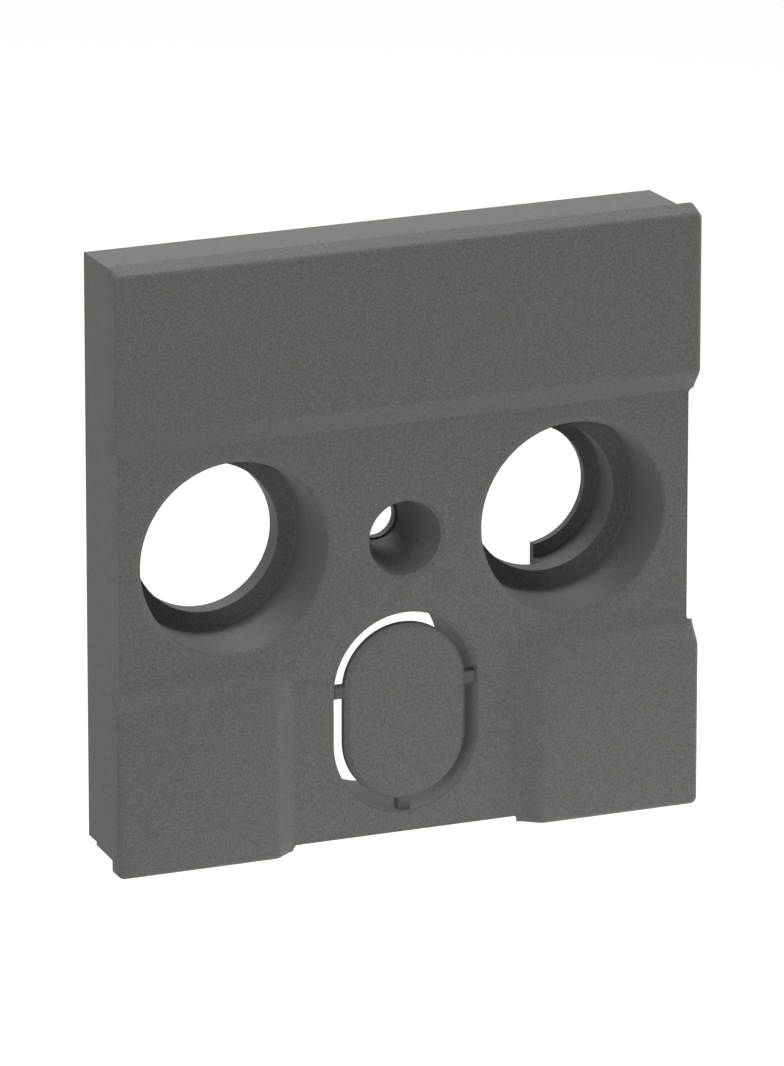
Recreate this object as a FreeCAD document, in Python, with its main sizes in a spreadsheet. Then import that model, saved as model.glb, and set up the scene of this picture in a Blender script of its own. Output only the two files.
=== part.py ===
"""Central cover plate of a wall-mounted aerial outlet, moulded in one piece.

The plate stands as it does on the wall: X to the right, Z up, and its face looks along -Y.
The origin is where the axis of the fixing screw leaves the seat of the screw boss, which is
the face that bears on the outlet behind the plate. All sizes are in millimetres and degrees.
"""
import FreeCAD, Part

import math
import os

import Sketcher

# Driving sizes of the plate, one cell each, under the name that every feature reads.
SIZES = {
    # Outline and the two levels of the front, and the corners of the front and of the cavity
    "plate_width": 55.0,
    "plate_height": 55.0,
    "pad_height": 1.35,
    "pad_land": 0.4,
    "pad_overhang": 0.65,
    "outline_corner": 0.6,
    "front_edge_round": 0.45,
    "top_edge_fall": 0.6,
    # Recess between the raised band across the top and the raised blocks in the lower corners
    "recess_margin": 1.29,
    "recess_gap": 24.9,
    "slope_run": 1.75,
    "block_corner": 1.0,
    "shoulder_round": 1.2,
    "band_foot_round": 0.6,
    "block_foot_round": 1.4,
    "trim_corner": 0.45,
    # Skirt and walls
    "skirt_depth": 8.35,
    "skirt_draft": 1.4,
    "skirt_wall": 1.4,
    "front_wall": 1.6,
    "core_margin": 1.2,
    "rebate_length": 2.0,
    "rebate_inset": 0.45,
    # Cups that take the two connectors
    "outlet_spacing": 32.0,
    "cup_mouth_radius": 8.66,
    "cup_floor_radius": 8.47,
    "cup_depth": 7.15,
    "cup_floor": 1.9,
    "cup_wall": 1.3,
    "cup_mouth_round": 0.75,
    "outlet_radius": 6.8,
    # Half collar behind the right-hand cup, with a lip at its end
    "collar_depth": 2.5,
    "collar_wall": 1.2,
    "collar_offset": 0.7,
    "lip_radius": 5.6,
    "lip_thickness": 0.8,
    # Well and boss of the fixing screw
    "well_mouth_radius": 3.37,
    "well_floor_radius": 2.05,
    "well_depth": 7.15,
    "well_bevel": 0.35,
    "screw_hole_radius": 1.9,
    "seat_thickness": 0.9,
    "boss_wall": 1.2,
    # Knock-out for a third connector, with the tube behind it
    "knockout_radius": 6.79,
    "knockout_stretch": 4.66,
    "knockout_drop": 15.85,
    "knockout_gap": 1.07,
    "knockout_thickness": 1.0,
    "knockout_bevel": 0.4,
    "slot_bevel": 0.15,
    "tube_wall": 1.2,
    "tube_depth": 9.05,
    "web_width": 1.05,
    "web_rise": 2.3,
    "web_setback": 0.5,
    "web_depth": 1.0,
    # Stiffening ribs on the back
    "rib_thickness": 1.2,
    "rib_depth": 5.3,
}

# Sizes that follow from the driving ones, kept as formulas in the same sheet.
FORMULAS = {
    "half_width": "plate_width / 2",
    "half_height": "plate_height / 2",
    "body_half_width": "half_width - pad_overhang",
    "body_half_height": "half_height - pad_overhang",
    "cavity_half_width": "body_half_width - skirt_wall",
    "cavity_half_height": "body_half_height - skirt_wall",
    "face_half_height": "half_height - top_edge_fall",
    # Distances of the planes ahead of the screw seat
    "floor_ahead": "well_depth + seat_thickness",
    "face_ahead": "floor_ahead + pad_height",
    "land_ahead": "floor_ahead - pad_land",
    "cavity_ahead": "floor_ahead - front_wall",
    "web_ahead": "floor_ahead - web_setback",
    "root_ahead": "floor_ahead - front_wall / 2",
    "rib_head_ahead": "root_ahead + pad_height",
    "cup_back_ahead": "floor_ahead - cup_depth - cup_floor",
    "rebate_ahead": "floor_ahead - skirt_depth + rebate_length",
    # Depths of the plain extrusions
    "trim_depth": "pad_height + pad_land",
    "slant_length": "2 * reach_x",
    "skirt_length": "skirt_depth - pad_land",
    "cavity_length": "skirt_depth - front_wall",
    "tube_length": "tube_depth - front_wall / 2",
    # Edges of the raised pads, clear of the mouths of the cups, and of the pockets behind them
    "pad_foot_z": "cup_mouth_radius + cup_mouth_round + recess_margin",
    "pad_edge_z": "pad_foot_z + slope_run",
    "pad_core_z": "pad_edge_z + core_margin",
    "block_face_x": "recess_gap / 2",
    "block_foot_x": "block_face_x - slope_run",
    "block_core_x": "block_face_x + core_margin",
    "reach_x": "half_width + 2 * slope_run",
    "reach_z": "half_height + 2 * slope_run",
    "rebate_z": "body_half_height - rebate_inset",
    # Radii and depths of the cups and collars, measured from the recess floor
    "outlet_x": "outlet_spacing / 2",
    "root_depth": "front_wall / 2",
    "cup_mouth_outer": "cup_mouth_radius + cup_wall",
    "cup_floor_outer": "cup_floor_radius + cup_wall",
    "cup_back": "cup_depth + cup_floor",
    "collar_outer": "outlet_radius + collar_wall",
    "collar_back": "cup_back + collar_depth",
    "lip_front": "collar_back - lip_thickness",
    "collar_cut_near": "outlet_x + collar_offset",
    "collar_cut_far": "outlet_x - collar_outer - 1",
    "collar_cut_half": "collar_outer + 1",
    # Radii of the screw boss and its well
    "well_rim_radius": "well_mouth_radius + well_bevel",
    "boss_mouth_outer": "well_mouth_radius + boss_wall",
    "boss_floor_outer": "well_floor_radius + boss_wall",
    # Knock-out and tube
    "knockout_top_z": "knockout_drop - knockout_stretch / 2",
    "knockout_low_z": "knockout_drop + knockout_stretch / 2",
    "tube_outer": "knockout_radius + tube_wall",
    "island_radius": "knockout_radius - knockout_gap",
    "web_reach": "knockout_radius + tube_wall / 2",
    "web_half": "web_width / 2",
    "web_high_z": "knockout_drop - web_rise - web_half",
    "web_low_z": "knockout_drop - web_rise + web_half",
    "web_end_z": "knockout_low_z + web_reach",
    # Ribs, whose root lies in the middle of the front wall
    "rib_half": "rib_thickness / 2",
    "rib_length": "rib_depth - front_wall / 2",
    "rib_head_length": "rib_length + pad_height",
    "rib_head_z": "pad_core_z - core_margin / 2",
}


def make_sheet(doc):
    """Write the driving sizes and the formulas into a spreadsheet, each under its alias."""
    sheet = doc.addObject("Spreadsheet::Sheet", "Sizes")
    cells = [(alias, str(value)) for alias, value in SIZES.items()]
    cells += [(alias, "=" + formula) for alias, formula in FORMULAS.items()]
    for row, (alias, content) in enumerate(cells, start=1):
        sheet.set("A%d" % row, alias)
        sheet.set("B%d" % row, content)
        sheet.setAlias("B%d" % row, alias)
    doc.recompute()
    return sheet


class Plate:
    """The body of the plate, with the helpers that draw and shape its features."""

    def __init__(self, doc, sheet):
        self.doc = doc
        self.sheet = sheet
        self.body = doc.addObject("PartDesign::Body", "CoverPlate")
        self.body.Label = "cover_plate"
        self.body.Placement = FreeCAD.Placement()

    def size(self, alias):
        """Value of one cell of the sheet; a leading minus turns its sign."""
        if alias == "0":
            return 0.0
        if alias.startswith("-"):
            return -self.size(alias[1:])
        return float(getattr(self.sheet, alias))

    def bind(self, item, prop, alias):
        """Bind a property of a feature to a cell; a leading minus turns its sign."""
        if alias.startswith("-"):
            item.setExpression(prop, "-Sizes." + alias[1:])
        else:
            item.setExpression(prop, "Sizes." + alias)

    def sketch(self, name, role, offset):
        """Empty sketch on an origin plane, moved by the cells given as {axis: alias}."""
        sketch = self.body.newObject("Sketcher::SketchObject", name)
        planes = [item for item in self.body.Origin.OriginFeatures if item.Role == role]
        sketch.AttachmentSupport = [(planes[0], "")]
        sketch.MapMode = "FlatFace"
        for axis, alias in offset.items():
            self.bind(sketch, "AttachmentOffset.Base." + axis, alias)
        return sketch

    def front_sketch(self, name, ahead):
        """Sketch square to the view from the front, a cell's distance ahead of the seat."""
        return self.sketch(name, "XZ_Plane", {"z": ahead})

    def axial_sketch(self, name, axis_x):
        """Sketch whose V axis runs rearwards at axis_x, with its zero on the recess floor."""
        offset = {"y": "-floor_ahead"}
        if axis_x != "0":
            offset["x"] = axis_x
        return self.sketch(name, "XY_Plane", offset)

    def place(self, sketch, line, point, direction, alias):
        """Tie one coordinate of a point of a sketch to a cell, or to the axis for zero."""
        if alias == "0":
            axis = -2 if direction == "DistanceX" else -1
            sketch.addConstraint(Sketcher.Constraint("PointOnObject", line, point, axis))
            return
        if alias.startswith("-"):
            ends = (line, point, -1, 1)
            alias = alias[1:]
        else:
            ends = (-1, 1, line, point)
        index = sketch.addConstraint(Sketcher.Constraint(direction, *ends, self.size(alias)))
        self.bind(sketch, "Constraints[%d]" % index, alias)

    def polygon(self, sketch, corners):
        """Closed outline through corners, each a pair of cell names."""
        points = [FreeCAD.Vector(self.size(x), self.size(y), 0) for x, y in corners]
        count = len(points)
        for index, start in enumerate(points):
            sketch.addGeometry(Part.LineSegment(start, points[(index + 1) % count]), False)
        for line, (x, y) in enumerate(corners):
            following = (line + 1) % count
            sketch.addConstraint(Sketcher.Constraint("Coincident", line, 2, following, 1))
            self.place(sketch, line, 1, "DistanceX", x)
            self.place(sketch, line, 1, "DistanceY", y)

    def outline(self, sketch, corners, rounded):
        """Closed outline of level and upright lines; rounded maps corner numbers to cells."""
        first = sketch.GeometryCount
        count = len(corners)
        points = [FreeCAD.Vector(self.size(x), self.size(y), 0) for x, y in corners]
        ways = [(points[(i + 1) % count] - points[i]).normalize() for i in range(count)]
        cuts = [self.size(rounded[i]) if i in rounded else 0.0 for i in range(count)]
        for i in range(count):
            start = points[i] + ways[i] * cuts[i]
            end = points[(i + 1) % count] - ways[i] * cuts[(i + 1) % count]
            sketch.addGeometry(Part.LineSegment(start, end), False)
        for i, (x, y) in enumerate(corners):
            line = first + i
            upright = corners[(i + 1) % count][0] == x
            sketch.addConstraint(Sketcher.Constraint("Vertical" if upright else "Horizontal", line))
            self.place(sketch, line, 1, "DistanceX" if upright else "DistanceY", x if upright else y)
        for i in range(count):
            previous = first + (i - 1) % count
            if i not in rounded:
                join = ("Coincident", previous, 2, first + i, 1)
                sketch.addConstraint(Sketcher.Constraint(*join))
                continue
            self.corner_arc(sketch, previous, first + i, rounded[i])

    def corner_arc(self, sketch, before, after, radius):
        """Arc that joins the end of one line to the start of the next, at right angles."""
        start = sketch.getPoint(before, 2)
        end = sketch.getPoint(after, 1)
        way_in = (start - sketch.getPoint(before, 1)).normalize()
        way_out = (sketch.getPoint(after, 2) - end).normalize()
        wide = self.size(radius)
        centre = start + way_out * wide
        left_turn = way_in.cross(way_out).z > 0
        low = start if left_turn else end
        angle = math.atan2(low.y - centre.y, low.x - centre.x)
        circle = Part.Circle(centre, FreeCAD.Vector(0, 0, 1), wide)
        arc = sketch.addGeometry(Part.ArcOfCircle(circle, angle, angle + math.pi / 2), False)
        ends = (1, 2) if left_turn else (2, 1)
        sketch.addConstraint(Sketcher.Constraint("Tangent", before, 2, arc, ends[0]))
        sketch.addConstraint(Sketcher.Constraint("Tangent", arc, ends[1], after, 1))
        index = sketch.addConstraint(Sketcher.Constraint("Radius", arc, wide))
        self.bind(sketch, "Constraints[%d]" % index, radius)

    def stadium(self, sketch, radius, top_z, low_z):
        """Upright slot outline on the V axis; top_z and low_z are its centres below zero."""
        wide = self.size(radius)
        high = -self.size(top_z)
        low = -self.size(low_z)
        axis = FreeCAD.Vector(0, 0, 1)
        first = sketch.GeometryCount
        top_circle = Part.Circle(FreeCAD.Vector(0, high, 0), axis, wide)
        low_circle = Part.Circle(FreeCAD.Vector(0, low, 0), axis, wide)
        sketch.addGeometry(Part.ArcOfCircle(top_circle, 0, math.pi), False)
        sketch.addGeometry(Part.ArcOfCircle(low_circle, math.pi, 2 * math.pi), False)
        left = (FreeCAD.Vector(-wide, high, 0), FreeCAD.Vector(-wide, low, 0))
        right = (FreeCAD.Vector(wide, low, 0), FreeCAD.Vector(wide, high, 0))
        sketch.addGeometry(Part.LineSegment(*left), False)
        sketch.addGeometry(Part.LineSegment(*right), False)
        top, bottom, left_line, right_line = range(first, first + 4)
        joins = (
            (top, 2, left_line, 1),
            (left_line, 2, bottom, 1),
            (bottom, 2, right_line, 1),
            (right_line, 2, top, 1),
        )
        for join in joins:
            sketch.addConstraint(Sketcher.Constraint("Tangent", *join))
        sketch.addConstraint(Sketcher.Constraint("Equal", top, bottom))
        for arc, depth in ((top, top_z), (bottom, low_z)):
            self.place(sketch, arc, 3, "DistanceX", "0")
            self.place(sketch, arc, 3, "DistanceY", "-" + depth)
        index = sketch.addConstraint(Sketcher.Constraint("Radius", top, wide))
        self.bind(sketch, "Constraints[%d]" % index, radius)

    def feature(self, kind, name, grows, taper=None, **settings):
        """Add a feature, bind its settings, recompute, and see that it grew or cut the body."""
        before = self.body.Shape.Volume if self.body.Tip else 0.0
        item = self.body.newObject("PartDesign::" + kind, name)
        for prop, value in settings.items():
            if isinstance(value, str) and hasattr(self.sheet, value.lstrip("-")):
                self.bind(item, prop, value)
            else:
                setattr(item, prop, value)
        if taper:
            item.setExpression("TaperAngle", taper)
        self.body.Tip = item
        self.doc.recompute()
        change = item.Shape.Volume - before
        if item.State and ("Invalid" in item.State or "Error" in item.State):
            raise RuntimeError("%s failed: %s" % (name, item.State))
        if (grows and change <= 0) or (not grows and change >= 0):
            raise RuntimeError("%s changed the volume the wrong way: %.3f" % (name, change))
        return item

    def round_edges(self, name, radius, wanted, grows=False):
        """Fillet every edge of the body that the wanted function picks."""
        return self.feature("Fillet", name, grows, Base=self.pick(name, wanted), Radius=radius)

    def bevel_edges(self, name, size, wanted):
        """Chamfer every edge of the body that the wanted function picks."""
        return self.feature("Chamfer", name, False, Base=self.pick(name, wanted), Size=size)

    def pick(self, name, wanted):
        """Edges of the body that the wanted function picks, as a link to its last feature."""
        tip = self.body.Tip
        edges = tip.Shape.Edges
        names = ["Edge%d" % number for number, edge in enumerate(edges, start=1) if wanted(edge)]
        if not names:
            raise RuntimeError("%s found no edge" % name)
        return (tip, names)


def near(value, target):
    """Whether two lengths agree to a hundredth of a millimetre."""
    return abs(value - target) < 0.01


def lies_on(edge, y):
    """Whether an edge lies wholly in the plane at y."""
    box = edge.BoundBox
    return near(box.YMin, y) and near(box.YMax, y)


def middle(edge):
    """Point halfway along an edge."""
    return edge.valueAt((edge.FirstParameter + edge.LastParameter) / 2)


def rectangle(left, right, low, high):
    """Four corners of an upright rectangle, each side given by a cell."""
    return [(left, low), (right, low), (right, high), (left, high)]


def add_front(plate):
    """Slab of the front, whose top edge slants back, with the recess sunk into it."""
    slab = plate.front_sketch("SlabOutline", "land_ahead")
    sides = rectangle("-half_width", "half_width", "-half_height", "half_height")
    plate.outline(slab, sides, {})
    plate.feature("Pad", "Slab", True, Profile=slab, Length="trim_depth")

    slant = plate.sketch("TopSlantProfile", "YZ_Plane", {"z": "reach_x"})
    plate.polygon(slant, [
        ("-face_ahead", "face_half_height"),
        ("-land_ahead", "half_height"),
        ("-land_ahead", "reach_z"),
        ("-face_ahead", "reach_z"),
    ])
    plate.feature("Pocket", "TopSlant", False, Profile=slant, Length="slant_length")
    plate.round_edges("OutlineCorners", "outline_corner",
                      lambda edge: edge.BoundBox.YLength > plate.size("pad_height"))

    recess = plate.front_sketch("RecessOutline", "face_ahead")
    corners = [
        ("-reach_x", "pad_edge_z"),
        ("-reach_x", "-pad_edge_z"),
        ("-block_face_x", "-pad_edge_z"),
        ("-block_face_x", "-reach_z"),
        ("block_face_x", "-reach_z"),
        ("block_face_x", "-pad_edge_z"),
        ("reach_x", "-pad_edge_z"),
        ("reach_x", "pad_edge_z"),
    ]
    plate.outline(recess, corners, {2: "block_corner", 5: "block_corner"})
    slope = "-atan(Sizes.slope_run / Sizes.pad_height)"
    plate.feature("Pocket", "Recess", False, slope, Profile=recess, Length="pad_height")


def round_front(plate):
    """Round the shoulders and feet of the slopes, then the whole outer edge of the front."""
    margin = plate.size("outline_corner") / 2
    reach_x = plate.size("half_width") - margin
    reach_z = plate.size("half_height") - margin
    face_y = -plate.size("face_ahead")
    floor_y = -plate.size("floor_ahead")
    top_z = plate.size("pad_edge_z") + margin

    def of_slope(edge, y):
        spot = middle(edge)
        return lies_on(edge, y) and abs(spot.x) < reach_x and -reach_z < spot.z < top_z

    plate.round_edges("Shoulders", "shoulder_round", lambda edge: of_slope(edge, face_y))
    plate.round_edges("BandFoot", "band_foot_round",
                      lambda edge: of_slope(edge, floor_y) and middle(edge).z > 0, grows=True)
    plate.round_edges("BlockFeet", "block_foot_round",
                      lambda edge: of_slope(edge, floor_y) and middle(edge).z < 0, grows=True)

    def on_outline(edge):
        box = edge.BoundBox
        spot = middle(edge)
        at_top = spot.z > plate.size("face_half_height") - margin
        at_rim = abs(spot.x) > reach_x or spot.z < -reach_z or at_top
        across = box.YLength < box.ZLength + box.XLength
        return at_rim and across and box.YMax < floor_y + 0.01

    plate.round_edges("FrontEdges", "front_edge_round", on_outline)


def trim_recess(plate):
    """Cut the recess back to the width of the skirt, which leaves the pads overhanging."""
    sketch = plate.front_sketch("TrimOutline", "face_ahead")
    strips = (
        ("body_half_width", "reach_x", "-pad_foot_z", "pad_foot_z"),
        ("-reach_x", "-body_half_width", "-pad_foot_z", "pad_foot_z"),
        ("-block_foot_x", "block_foot_x", "-reach_z", "-body_half_height"),
    )
    for strip in strips:
        plate.outline(sketch, rectangle(*strip), {i: "trim_corner" for i in range(4)})
    plate.feature("Pocket", "RecessTrim", False, Profile=sketch, Length="trim_depth")


def add_skirt(plate):
    """Drafted skirt behind the front, hollowed from the rear, also behind the raised pads."""
    sketch = plate.front_sketch("SkirtOutline", "land_ahead")
    sides = rectangle("-body_half_width", "body_half_width",
                      "-body_half_height", "body_half_height")
    plate.outline(sketch, sides, {})
    plate.feature("Pad", "Skirt", True, "-Sizes.skirt_draft", Profile=sketch, Reversed=True,
                  Length="skirt_length")

    cavity = plate.front_sketch("CavityOutline", "cavity_ahead")
    sides = rectangle("-cavity_half_width", "cavity_half_width",
                      "-cavity_half_height", "cavity_half_height")
    plate.outline(cavity, sides, {i: "outline_corner" for i in range(4)})
    plate.feature("Pocket", "Cavity", False, Profile=cavity, Length="cavity_length")

    cores = plate.front_sketch("CoreOutlines", "cavity_ahead")
    hollows = (
        ("-cavity_half_width", "cavity_half_width", "pad_core_z", "cavity_half_height"),
        ("block_core_x", "cavity_half_width", "-cavity_half_height", "-pad_core_z"),
        ("-cavity_half_width", "-block_core_x", "-cavity_half_height", "-pad_core_z"),
    )
    for hollow in hollows:
        plate.outline(cores, rectangle(*hollow), {})
    plate.feature("Pocket", "Cores", False, Profile=cores, Reversed=True, Length="pad_height")

    rebate = plate.front_sketch("RebateOutline", "rebate_ahead")
    plate.outline(rebate, rectangle("-half_width", "half_width", "-half_height", "-rebate_z"), {})
    plate.feature("Pocket", "Rebate", False, Profile=rebate, Length="rebate_length")


def turn(plate, kind, name, axis_x, corners):
    """Ring or round hollow about an axis along Y; corners are radius and depth cells."""
    sketch = plate.axial_sketch(name + "Profile", axis_x)
    plate.polygon(sketch, corners)
    plate.feature(kind, name, kind == "Revolution", Profile=sketch,
                  ReferenceAxis=(sketch, ["V_Axis"]), Angle=360)


def add_rear_solids(plate):
    """Ribs, cups, screw boss and tube on the back of the front wall, all still solid."""
    across = plate.front_sketch("LevelRibOutline", "root_ahead")
    plate.outline(across, rectangle("-outlet_x", "outlet_x", "-rib_half", "rib_half"), {})
    plate.feature("Pad", "LevelRib", True, Profile=across, Reversed=True, Length="rib_length")
    upright = plate.front_sketch("UprightRibOutline", "root_ahead")
    sides = rectangle("-rib_half", "rib_half", "-knockout_top_z", "cavity_half_height")
    plate.outline(upright, sides, {})
    plate.feature("Pad", "UprightRib", True, Profile=upright, Reversed=True, Length="rib_length")
    head = plate.front_sketch("RibHeadOutline", "rib_head_ahead")
    sides = rectangle("-rib_half", "rib_half", "rib_head_z", "cavity_half_height")
    plate.outline(head, sides, {})
    plate.feature("Pad", "RibHead", True, Profile=head, Reversed=True, Length="rib_head_length")

    for side, axis_x in (("Right", "outlet_x"), ("Left", "-outlet_x")):
        turn(plate, "Revolution", side + "Cup", axis_x, [
            ("0", "root_depth"),
            ("cup_mouth_outer", "root_depth"),
            ("cup_floor_outer", "cup_back"),
            ("0", "cup_back"),
        ])
    turn(plate, "Revolution", "ScrewBoss", "0", [
        ("0", "root_depth"),
        ("boss_mouth_outer", "root_depth"),
        ("boss_floor_outer", "floor_ahead"),
        ("0", "floor_ahead"),
    ])
    tube = plate.front_sketch("TubeOutline", "root_ahead")
    plate.stadium(tube, "tube_outer", "knockout_top_z", "knockout_low_z")
    plate.feature("Pad", "Tube", True, Profile=tube, Reversed=True, Length="tube_length")


def hollow_front(plate):
    """Hollow the cups, the screw boss and the tube from the front."""
    for side, axis_x in (("Right", "outlet_x"), ("Left", "-outlet_x")):
        turn(plate, "Groove", side + "CupHollow", axis_x, [
            ("0", "0"),
            ("cup_mouth_radius", "0"),
            ("cup_floor_radius", "cup_depth"),
            ("outlet_radius", "cup_depth"),
            ("outlet_radius", "cup_back"),
            ("0", "cup_back"),
        ])
    floor_y = -plate.size("floor_ahead")
    mouth = 2 * plate.size("cup_mouth_radius")
    plate.round_edges("CupMouths", "cup_mouth_round",
                      lambda edge: lies_on(edge, floor_y) and near(edge.BoundBox.ZLength, mouth))
    turn(plate, "Groove", "ScrewWell", "0", [
        ("0", "0"),
        ("well_rim_radius", "0"),
        ("well_mouth_radius", "well_bevel"),
        ("well_floor_radius", "well_depth"),
        ("screw_hole_radius", "well_depth"),
        ("screw_hole_radius", "floor_ahead"),
        ("0", "floor_ahead"),
    ])
    slot = plate.front_sketch("SlotOutline", "floor_ahead")
    plate.stadium(slot, "knockout_radius", "knockout_top_z", "knockout_low_z")
    plate.feature("Pocket", "Slot", False, Profile=slot, Length="tube_depth")


def add_collar(plate):
    """Half collar with a lip behind the outer side of the right-hand cup."""
    turn(plate, "Revolution", "Collar", "outlet_x", [
        ("outlet_radius", "cup_back"),
        ("collar_outer", "cup_back"),
        ("collar_outer", "collar_back"),
        ("lip_radius", "collar_back"),
        ("lip_radius", "lip_front"),
        ("outlet_radius", "lip_front"),
    ])
    sketch = plate.front_sketch("CollarCut", "cup_back_ahead")
    half = rectangle("collar_cut_far", "collar_cut_near", "-collar_cut_half", "collar_cut_half")
    plate.outline(sketch, half, {})
    plate.feature("Pocket", "CollarHalf", False, Profile=sketch, Length="collar_depth")


def add_knockout(plate):
    """Island that closes the slot, held by three webs that a push breaks."""
    level = plate.front_sketch("LevelWebOutline", "web_ahead")
    plate.outline(level, rectangle("-web_reach", "web_reach", "-web_low_z", "-web_high_z"), {})
    plate.feature("Pad", "LevelWeb", True, Profile=level, Reversed=True, Length="web_depth")
    lower = plate.front_sketch("LowerWebOutline", "web_ahead")
    plate.outline(lower, rectangle("-web_half", "web_half", "-web_end_z", "-web_low_z"), {})
    plate.feature("Pad", "LowerWeb", True, Profile=lower, Reversed=True, Length="web_depth")
    island = plate.front_sketch("IslandOutline", "floor_ahead")
    plate.stadium(island, "island_radius", "knockout_top_z", "knockout_low_z")
    plate.feature("Pad", "Island", True, Profile=island, Reversed=True,
                  Length="knockout_thickness")


def bevel_knockout(plate):
    """Bevel the front edges of the island and of the slot around it."""
    floor_y = -plate.size("floor_ahead")
    island = plate.size("island_radius")
    slot = plate.size("knockout_radius")
    top_z = -plate.size("knockout_top_z")
    low_z = -plate.size("knockout_low_z")

    def from_slot(edge):
        spot = middle(edge)
        return math.hypot(spot.x, spot.z - min(max(spot.z, low_z), top_z))

    plate.bevel_edges("IslandEdge", "knockout_bevel",
                      lambda edge: lies_on(edge, floor_y) and near(from_slot(edge), island))
    plate.bevel_edges("SlotEdge", "slot_bevel",
                      lambda edge: lies_on(edge, floor_y) and near(from_slot(edge), slot))


def build():
    """Make the document and the plate, check them, and write the plate's solid."""
    doc = FreeCAD.newDocument("CoverPlate")
    plate = Plate(doc, make_sheet(doc))
    add_front(plate)
    round_front(plate)
    trim_recess(plate)
    add_skirt(plate)
    add_rear_solids(plate)
    hollow_front(plate)
    add_collar(plate)
    add_knockout(plate)
    bevel_knockout(plate)
    for item in doc.Objects:
        if "Invalid" in item.State or "Error" in item.State:
            raise RuntimeError("%s failed: %s" % (item.Label, item.State))
    shape = plate.body.Shape
    if shape.isNull() or not shape.isValid() or len(shape.Solids) != 1:
        raise RuntimeError("the plate isn't one valid solid")
    os.makedirs("parts", exist_ok=True)
    shape.exportStep("parts/%s.step" % plate.body.Label)


build()
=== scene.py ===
"""Dresses the moulded cover plate of an aerial outlet and lights it on a pale ground."""

import logging
import math
from dataclasses import dataclass, field
from enum import Enum
from typing import Any, Sequence

import bmesh
import bpy
from mathutils import Matrix, Vector


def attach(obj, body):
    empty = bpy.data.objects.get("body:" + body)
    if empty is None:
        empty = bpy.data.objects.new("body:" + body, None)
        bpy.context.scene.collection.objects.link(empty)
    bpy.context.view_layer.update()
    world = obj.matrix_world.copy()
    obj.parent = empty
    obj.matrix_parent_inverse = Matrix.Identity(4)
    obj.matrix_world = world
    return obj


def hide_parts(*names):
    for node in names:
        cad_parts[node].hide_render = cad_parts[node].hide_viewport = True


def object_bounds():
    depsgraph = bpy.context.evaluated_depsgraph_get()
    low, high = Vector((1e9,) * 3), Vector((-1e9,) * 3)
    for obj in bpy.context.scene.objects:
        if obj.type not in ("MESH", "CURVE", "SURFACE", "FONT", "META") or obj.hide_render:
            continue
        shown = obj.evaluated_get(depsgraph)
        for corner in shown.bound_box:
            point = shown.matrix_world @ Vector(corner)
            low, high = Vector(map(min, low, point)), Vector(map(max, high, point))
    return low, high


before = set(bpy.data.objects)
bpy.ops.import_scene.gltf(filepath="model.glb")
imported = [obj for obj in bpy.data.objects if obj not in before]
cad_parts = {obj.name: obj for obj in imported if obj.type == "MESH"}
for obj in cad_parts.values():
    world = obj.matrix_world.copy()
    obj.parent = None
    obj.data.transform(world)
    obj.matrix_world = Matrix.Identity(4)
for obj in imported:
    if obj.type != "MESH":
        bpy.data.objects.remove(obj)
CAD_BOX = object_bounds()

MM = 0.001
WHITE = "ffffff"

# The sRGB curve: straight up to the knee, a power above it.
FULL_LEVEL = 255
SRGB_KNEE = 0.04045
SRGB_SLOPE = 12.92
SRGB_OFFSET = 0.055
SRGB_POWER = 2.4

# A Mix node has a set of sockets for each kind of value under the same names, so they go by
# number: the factor, then the two numbers or the two colours.
MIX_FACTOR, NUMBER_A, NUMBER_B, COLOUR_A, COLOUR_B = "0", "2", "3", "6", "7"
NUMBER_OUT, COLOUR_OUT = 0, 2

logging.basicConfig(level=logging.INFO, format="%(name)s: %(message)s")
log = logging.getLogger("cover_plate")


def linear(hex_colour: str) -> tuple[float, float, float, float]:
    """Turn an sRGB hex colour into a linear one.

    Args:
        hex_colour: Six hexadecimal digits, such as "6b6b67".

    Returns:
        Linear red, green and blue, and an alpha of one.
    """
    levels = [int(hex_colour[i:i + 2], 16) / FULL_LEVEL for i in (0, 2, 4)]
    red, green, blue = (
        level / SRGB_SLOPE if level <= SRGB_KNEE
        else ((level + SRGB_OFFSET) / (1.0 + SRGB_OFFSET)) ** SRGB_POWER
        for level in levels
    )
    return red, green, blue, 1.0


def per_metre(period_mm: float) -> float:
    """Noise scale that repeats about once in a length in millimetres.

    Args:
        period_mm: Size of one grain or patch.

    Returns:
        Scale for a pattern on Object coordinates in metres.
    """
    return 1.0 / (period_mm * MM)


def add_node(tree: bpy.types.NodeTree, kind: str, links: dict[str, Any] | None = None,
             **settings: Any) -> bpy.types.Node:
    """Add a node with its settings and input values or links.

    Args:
        tree: Node tree that gets the node.
        kind: Type name of the node.
        links: Input names, or numbers as text, with a value or an output socket to link.
        **settings: Attributes of the node.

    Returns:
        The new node.
    """
    node = tree.nodes.new(kind)
    for name, value in settings.items():
        setattr(node, name, value)
    for name, value in (links or {}).items():
        socket = node.inputs[int(name)] if name.isdigit() else node.inputs[name]
        if isinstance(value, bpy.types.NodeSocket):
            tree.links.new(value, socket)
        else:
            socket.default_value = value
    return node


class Detail(Enum):
    """How many times a noise pattern is laid over itself at half the size."""

    GRAIN = 2.0
    PATCHES = 4.0


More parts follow.
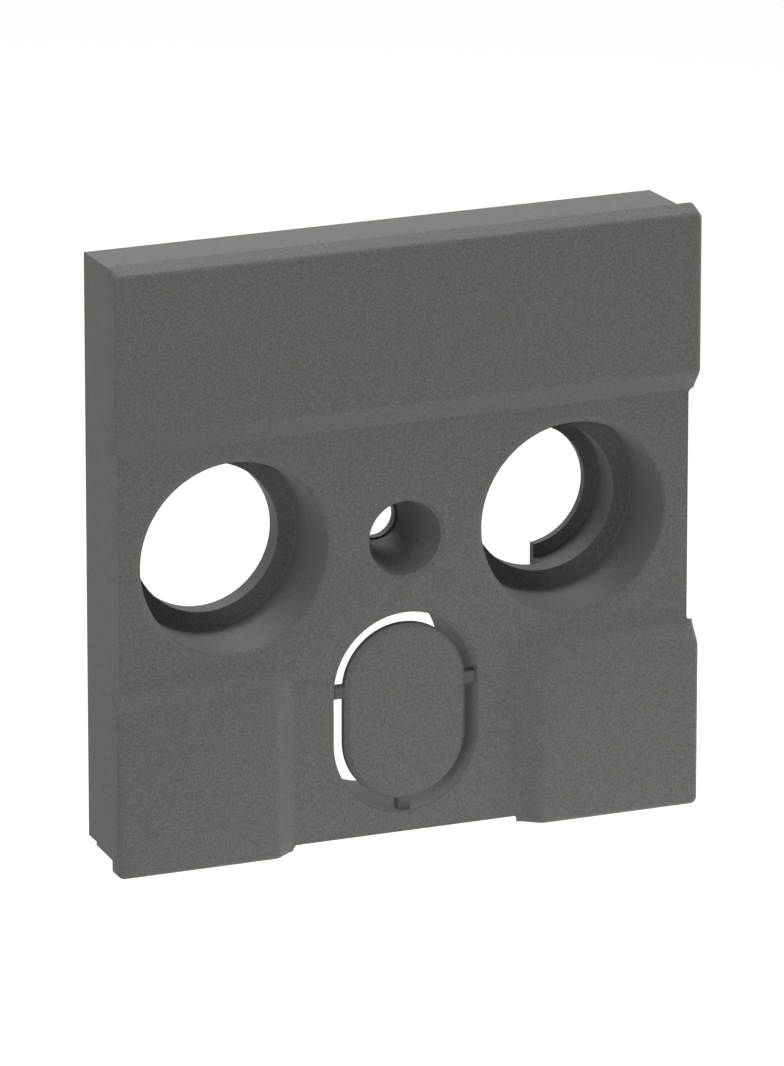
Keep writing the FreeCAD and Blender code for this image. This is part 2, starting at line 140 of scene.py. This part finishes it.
@dataclass(frozen=True)
class SparkErodedPlastic:
    """Dark grey thermoplastic, moulded in a tool with a spark-eroded texture.

    The texture is a field of tiny pits, so the plastic is matt, has no clear reflection, and
    catches a soft light on its rounded edges. The real pits are a few hundredths of a
    millimetre wide, too fine to show, so the grain is drawn coarser. The tone runs from the low
    colour to the high one over the middle of the noise. The broad patches are the plastic's own
    uneven tone. The grain, which also drives the bump, darkens the pits as painted shade. A few
    dark specks lie in it.
    """

    name: str = "spark_eroded_dark_grey_thermoplastic"
    # The low colour is reached by the plastic's darker patches and by the pits, whose darkness
    # is painted shade.
    colour_low: str = "474643"
    colour_high: str = "5d5c58"
    speck_colour: str = "3c3c39"
    roughness: float = 0.62
    ior: float = 1.52
    specular: float = 0.3
    grain_mm: float = 0.16
    patch_mm: float = 1.6
    # Share of the grain in the tone. The grain darkens the pits as painted shade.
    pit_shade_share: float = 0.9
    grain_depth_mm: float = 0.04
    noise_roughness: float = 0.55
    tone_from: float = 0.32
    tone_to: float = 0.68
    speck_spacing_mm: float = 9.0
    speck_size_mm: float = 0.16
    speck_core: float = 0.6
    edge_radius_mm: float = 0.16
    edge_samples: int = 6

    def material(self) -> bpy.types.Material:
        """Build the procedural material.

        Returns:
            The material, which reads Object coordinates only.
        """
        material = bpy.data.materials.new(self.name)
        material.use_nodes = True
        tree = material.node_tree
        tree.nodes.clear()
        place = add_node(tree, "ShaderNodeTexCoord").outputs["Object"]

        patches = self.noise(tree, place, self.patch_mm, Detail.PATCHES)
        grain = self.noise(tree, place, self.grain_mm, Detail.GRAIN)
        # The plastic's own patchy tone is mixed with the grain, which paints shade into the
        # pits where the bump is low.
        mottle_and_pit_shade = add_node(tree, "ShaderNodeMix", {
            MIX_FACTOR: self.pit_shade_share, NUMBER_A: patches, NUMBER_B: grain,
        })
        tone = add_node(tree, "ShaderNodeValToRGB", {"Fac": mottle_and_pit_shade.outputs[NUMBER_OUT]})
        low, high = tone.color_ramp.elements
        low.position, high.position = self.tone_from, self.tone_to
        low.color, high.color = linear(self.colour_low), linear(self.colour_high)

        cells = add_node(tree, "ShaderNodeTexVoronoi",
                         {"Vector": place, "Scale": per_metre(self.speck_spacing_mm)})
        speck_share = self.speck_size_mm / self.speck_spacing_mm
        speck = add_node(tree, "ShaderNodeMapRange", {
            "Value": cells.outputs["Distance"], "From Min": speck_share * self.speck_core,
            "From Max": speck_share, "To Min": 1.0, "To Max": 0.0,
        })
        colour = add_node(tree, "ShaderNodeMix", {
            MIX_FACTOR: speck.outputs["Result"], COLOUR_A: tone.outputs["Color"],
            COLOUR_B: linear(self.speck_colour),
        }, data_type="RGBA")

        rounded = add_node(tree, "ShaderNodeBevel", {"Radius": self.edge_radius_mm * MM},
                           samples=self.edge_samples)
        bump = add_node(tree, "ShaderNodeBump", {
            "Distance": self.grain_depth_mm * MM, "Height": grain,
            "Normal": rounded.outputs["Normal"],
        })
        shader = add_node(tree, "ShaderNodeBsdfPrincipled", {
            "Base Color": colour.outputs[COLOUR_OUT], "Roughness": self.roughness,
            "IOR": self.ior, "Specular IOR Level": self.specular,
            "Normal": bump.outputs["Normal"],
        })
        add_node(tree, "ShaderNodeOutputMaterial", {"Surface": shader.outputs["BSDF"]})
        return material

    def noise(self, tree: bpy.types.NodeTree, place: bpy.types.NodeSocket, period_mm: float,
              detail: Detail) -> bpy.types.NodeSocket:
        """Add a noise pattern.

        Args:
            tree: Node tree of the material.
            place: Object coordinates.
            period_mm: Size of one patch of the pattern.
            detail: How fine the pattern's detail goes.

        Returns:
            The output that holds the pattern, from zero to one.
        """
        pattern = add_node(tree, "ShaderNodeTexNoise", {
            "Vector": place, "Scale": per_metre(period_mm), "Detail": detail.value,
            "Roughness": self.noise_roughness,
        })
        return pattern.outputs["Fac"]


@dataclass
class CoverPlate:
    """The moulded plate, as a merged copy of its solid with smooth rounded edges."""

    node: str = "cover_plate"
    slot: str = "moulded_plastic"
    name: str = "moulded_cover_plate"
    merge_mm: float = 0.001
    smooth_below_deg: float = 32.0
    finish: SparkErodedPlastic = field(default_factory=SparkErodedPlastic)

    def build(self) -> bpy.types.Object:
        """Make the merged copy, dress it and let it stand for the solid.

        Returns:
            The plate's object, at the origin.
        """
        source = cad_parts[self.node]
        mesh = bpy.data.meshes.new(self.name)
        form = bmesh.new()
        form.from_mesh(source.data)
        bmesh.ops.remove_doubles(form, verts=form.verts, dist=self.merge_mm * MM)
        limit = math.radians(self.smooth_below_deg)
        for face in form.faces:
            face.smooth = True
        for edge in form.edges:
            edge.smooth = len(edge.link_faces) == 2 and edge.calc_face_angle() < limit
        form.to_mesh(mesh)
        form.free()
        plate = bpy.data.objects.new(self.name, mesh)
        bpy.context.scene.collection.objects.link(plate)
        mesh.materials.append(self.finish.material())
        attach(plate, "root")
        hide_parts(self.node)
        return plate


@dataclass
class Camera:
    """The photograph's viewpoint, measured from the middle of the plate's front."""

    azimuth_deg: float = 22.514
    elevation_deg: float = 17.207
    roll_deg: float = 0.022
    distance_mm: float = 878.827
    shift_right_mm: float = 1.766
    shift_up_mm: float = -0.896
    focal_mm: float = 340.92
    sensor_mm: float = 36.0
    near_mm: float = 50.0
    far_mm: float = 20000.0

    def build(self) -> bpy.types.Object:
        """Place the camera and make it the scene's.

        Returns:
            The camera's object.
        """
        azimuth = math.radians(self.azimuth_deg)
        elevation = math.radians(self.elevation_deg)
        ahead = Vector((
            math.sin(azimuth) * math.cos(elevation),
            math.cos(azimuth) * math.cos(elevation),
            -math.sin(elevation),
        ))
        right = Vector((math.cos(azimuth), -math.sin(azimuth), 0.0))
        up = right.cross(ahead)
        front_centre = Vector((0.0, CAD_BOX[0][1], 0.0))
        spot = front_centre - (
            ahead * self.distance_mm + right * self.shift_right_mm + up * self.shift_up_mm
        ) * MM
        data = bpy.data.cameras.new("camera")
        data.lens = self.focal_mm
        data.sensor_width = self.sensor_mm
        data.clip_start = self.near_mm * MM
        data.clip_end = self.far_mm * MM
        camera = bpy.data.objects.new("camera", data)
        turn = Matrix((right, up, -ahead)).transposed().to_4x4()
        camera.matrix_world = (Matrix.Translation(spot) @ turn
                               @ Matrix.Rotation(math.radians(self.roll_deg), 4, "Z"))
        bpy.context.scene.collection.objects.link(camera)
        bpy.context.scene.camera = camera
        return camera


@dataclass(frozen=True)
class Softbox:
    """A square area lamp of the light tent. Its place and side are in metres."""

    name: str
    place: tuple[float, float, float]
    side: float
    watts: float

    def build(self) -> bpy.types.Object:
        """Hang the lamp and aim it at the middle of the plate.

        Returns:
            The lamp's object.
        """
        data = bpy.data.lights.new(self.name, "AREA")
        data.shape = "SQUARE"
        data.size = self.side
        data.energy = self.watts
        lamp = bpy.data.objects.new(self.name, data)
        aim = -Vector(self.place)
        lamp.matrix_world = (Matrix.Translation(self.place)
                             @ aim.to_track_quat("-Z", "Y").to_matrix().to_4x4())
        bpy.context.scene.collection.objects.link(lamp)
        return lamp


@dataclass
class Studio:
    """Pale floor, white surroundings and the lamps, with lengths in metres.

    The floor's lift and the white level are strengths that only the rays that show the
    background see, where one is white. The world level is what lights the plate.
    """

    floor_gap: float = 0.09
    floor_side: float = 6.0
    floor_colour: str = "b4b4b4"
    floor_lift: float = 0.6
    white_level: float = 1.0
    world_level: float = 0.12
    lamps: Sequence[Softbox] = (
        Softbox("lamp_above", (0.0, -0.32, 0.85), 0.6, 4.6),
        Softbox("lamp_above_behind", (0.0, 0.5, 0.75), 0.5, 5.4),
        Softbox("lamp_left", (-0.54, -0.46, 0.05), 0.4, 3.0),
        Softbox("lamp_right", (0.5, -0.05, 0.1), 0.4, 2.3),
        Softbox("lamp_below", (0.04, -0.05, -0.1), 0.08, 0.064),
    )

    def build(self) -> None:
        """Lay the floor, set the world and hang the lamps."""
        self.lay_floor()
        self.set_world()
        for lamp in self.lamps:
            lamp.build()

    def lay_floor(self) -> bpy.types.Object:
        """Lay the pale floor below the plate.

        Returns:
            The floor's object.
        """
        mesh = bpy.data.meshes.new("floor")
        form = bmesh.new()
        bmesh.ops.create_grid(form, x_segments=1, y_segments=1, size=self.floor_side / 2)
        level = CAD_BOX[0][2] - self.floor_gap
        bmesh.ops.translate(form, verts=form.verts, vec=(0.0, 0.0, level))
        form.to_mesh(mesh)
        form.free()
        floor = bpy.data.objects.new("floor", mesh)
        bpy.context.scene.collection.objects.link(floor)
        mesh.materials.append(self.floor_material())
        return floor

    def background_rays(self, tree: bpy.types.NodeTree) -> bpy.types.NodeSocket:
        """Tell the rays that show the pale background from those that light the plate.

        Args:
            tree: Node tree of the floor or the world.

        Returns:
            The output that is one for rays seen straight, in a reflection or through glass.
        """
        path = add_node(tree, "ShaderNodeLightPath").outputs
        mirrored = add_node(tree, "ShaderNodeMath", {
            "0": path["Is Glossy Ray"], "1": path["Is Transmission Ray"],
        }, operation="MAXIMUM")
        seen = add_node(tree, "ShaderNodeMath", {
            "0": path["Is Camera Ray"], "1": mirrored.outputs["Value"],
        }, operation="MAXIMUM")
        return seen.outputs["Value"]

    def floor_material(self) -> bpy.types.Material:
        """Build the matt pale floor, lighter to the eye, that takes the plate's shadow.

        Returns:
            The floor's material.
        """
        material = bpy.data.materials.new("matt_pale_floor")
        material.use_nodes = True
        tree = material.node_tree
        tree.nodes.clear()
        matt = add_node(tree, "ShaderNodeBsdfDiffuse", {"Color": linear(self.floor_colour)})
        lift = add_node(tree, "ShaderNodeMath", {
            "0": self.background_rays(tree), "1": self.floor_lift,
        }, operation="MULTIPLY")
        glow = add_node(tree, "ShaderNodeEmission", {"Strength": lift.outputs["Value"]})
        both = add_node(tree, "ShaderNodeAddShader", {
            "0": matt.outputs["BSDF"], "1": glow.outputs["Emission"],
        })
        add_node(tree, "ShaderNodeOutputMaterial", {"Surface": both.outputs["Shader"]})
        return material

    def set_world(self) -> None:
        """Light the plate evenly from all round, and show white behind it."""
        world = bpy.data.worlds.new("light_tent")
        bpy.context.scene.world = world
        world.use_nodes = True
        tree = world.node_tree
        tree.nodes.clear()
        tent, seen = (
            add_node(tree, "ShaderNodeBackground", {"Color": linear(WHITE), "Strength": level})
            for level in (self.world_level, self.white_level)
        )
        mixed = add_node(tree, "ShaderNodeMixShader", {
            "Fac": self.background_rays(tree), "1": tent.outputs["Background"],
            "2": seen.outputs["Background"],
        })
        add_node(tree, "ShaderNodeOutputWorld", {"Surface": mixed.outputs["Shader"]})


def set_view() -> None:
    """Show colours as they are written."""
    bpy.context.scene.view_settings.view_transform = "Standard"


def main() -> None:
    """Build the plate, the studio and the camera, in that order."""
    plate = CoverPlate().build()
    log.info("plate %s with %d faces", plate.name, len(plate.data.polygons))
    Studio().build()
    log.info("studio lit")
    Camera().build()
    set_view()
    log.info("camera placed")


if __name__ == "__main__":
    main()
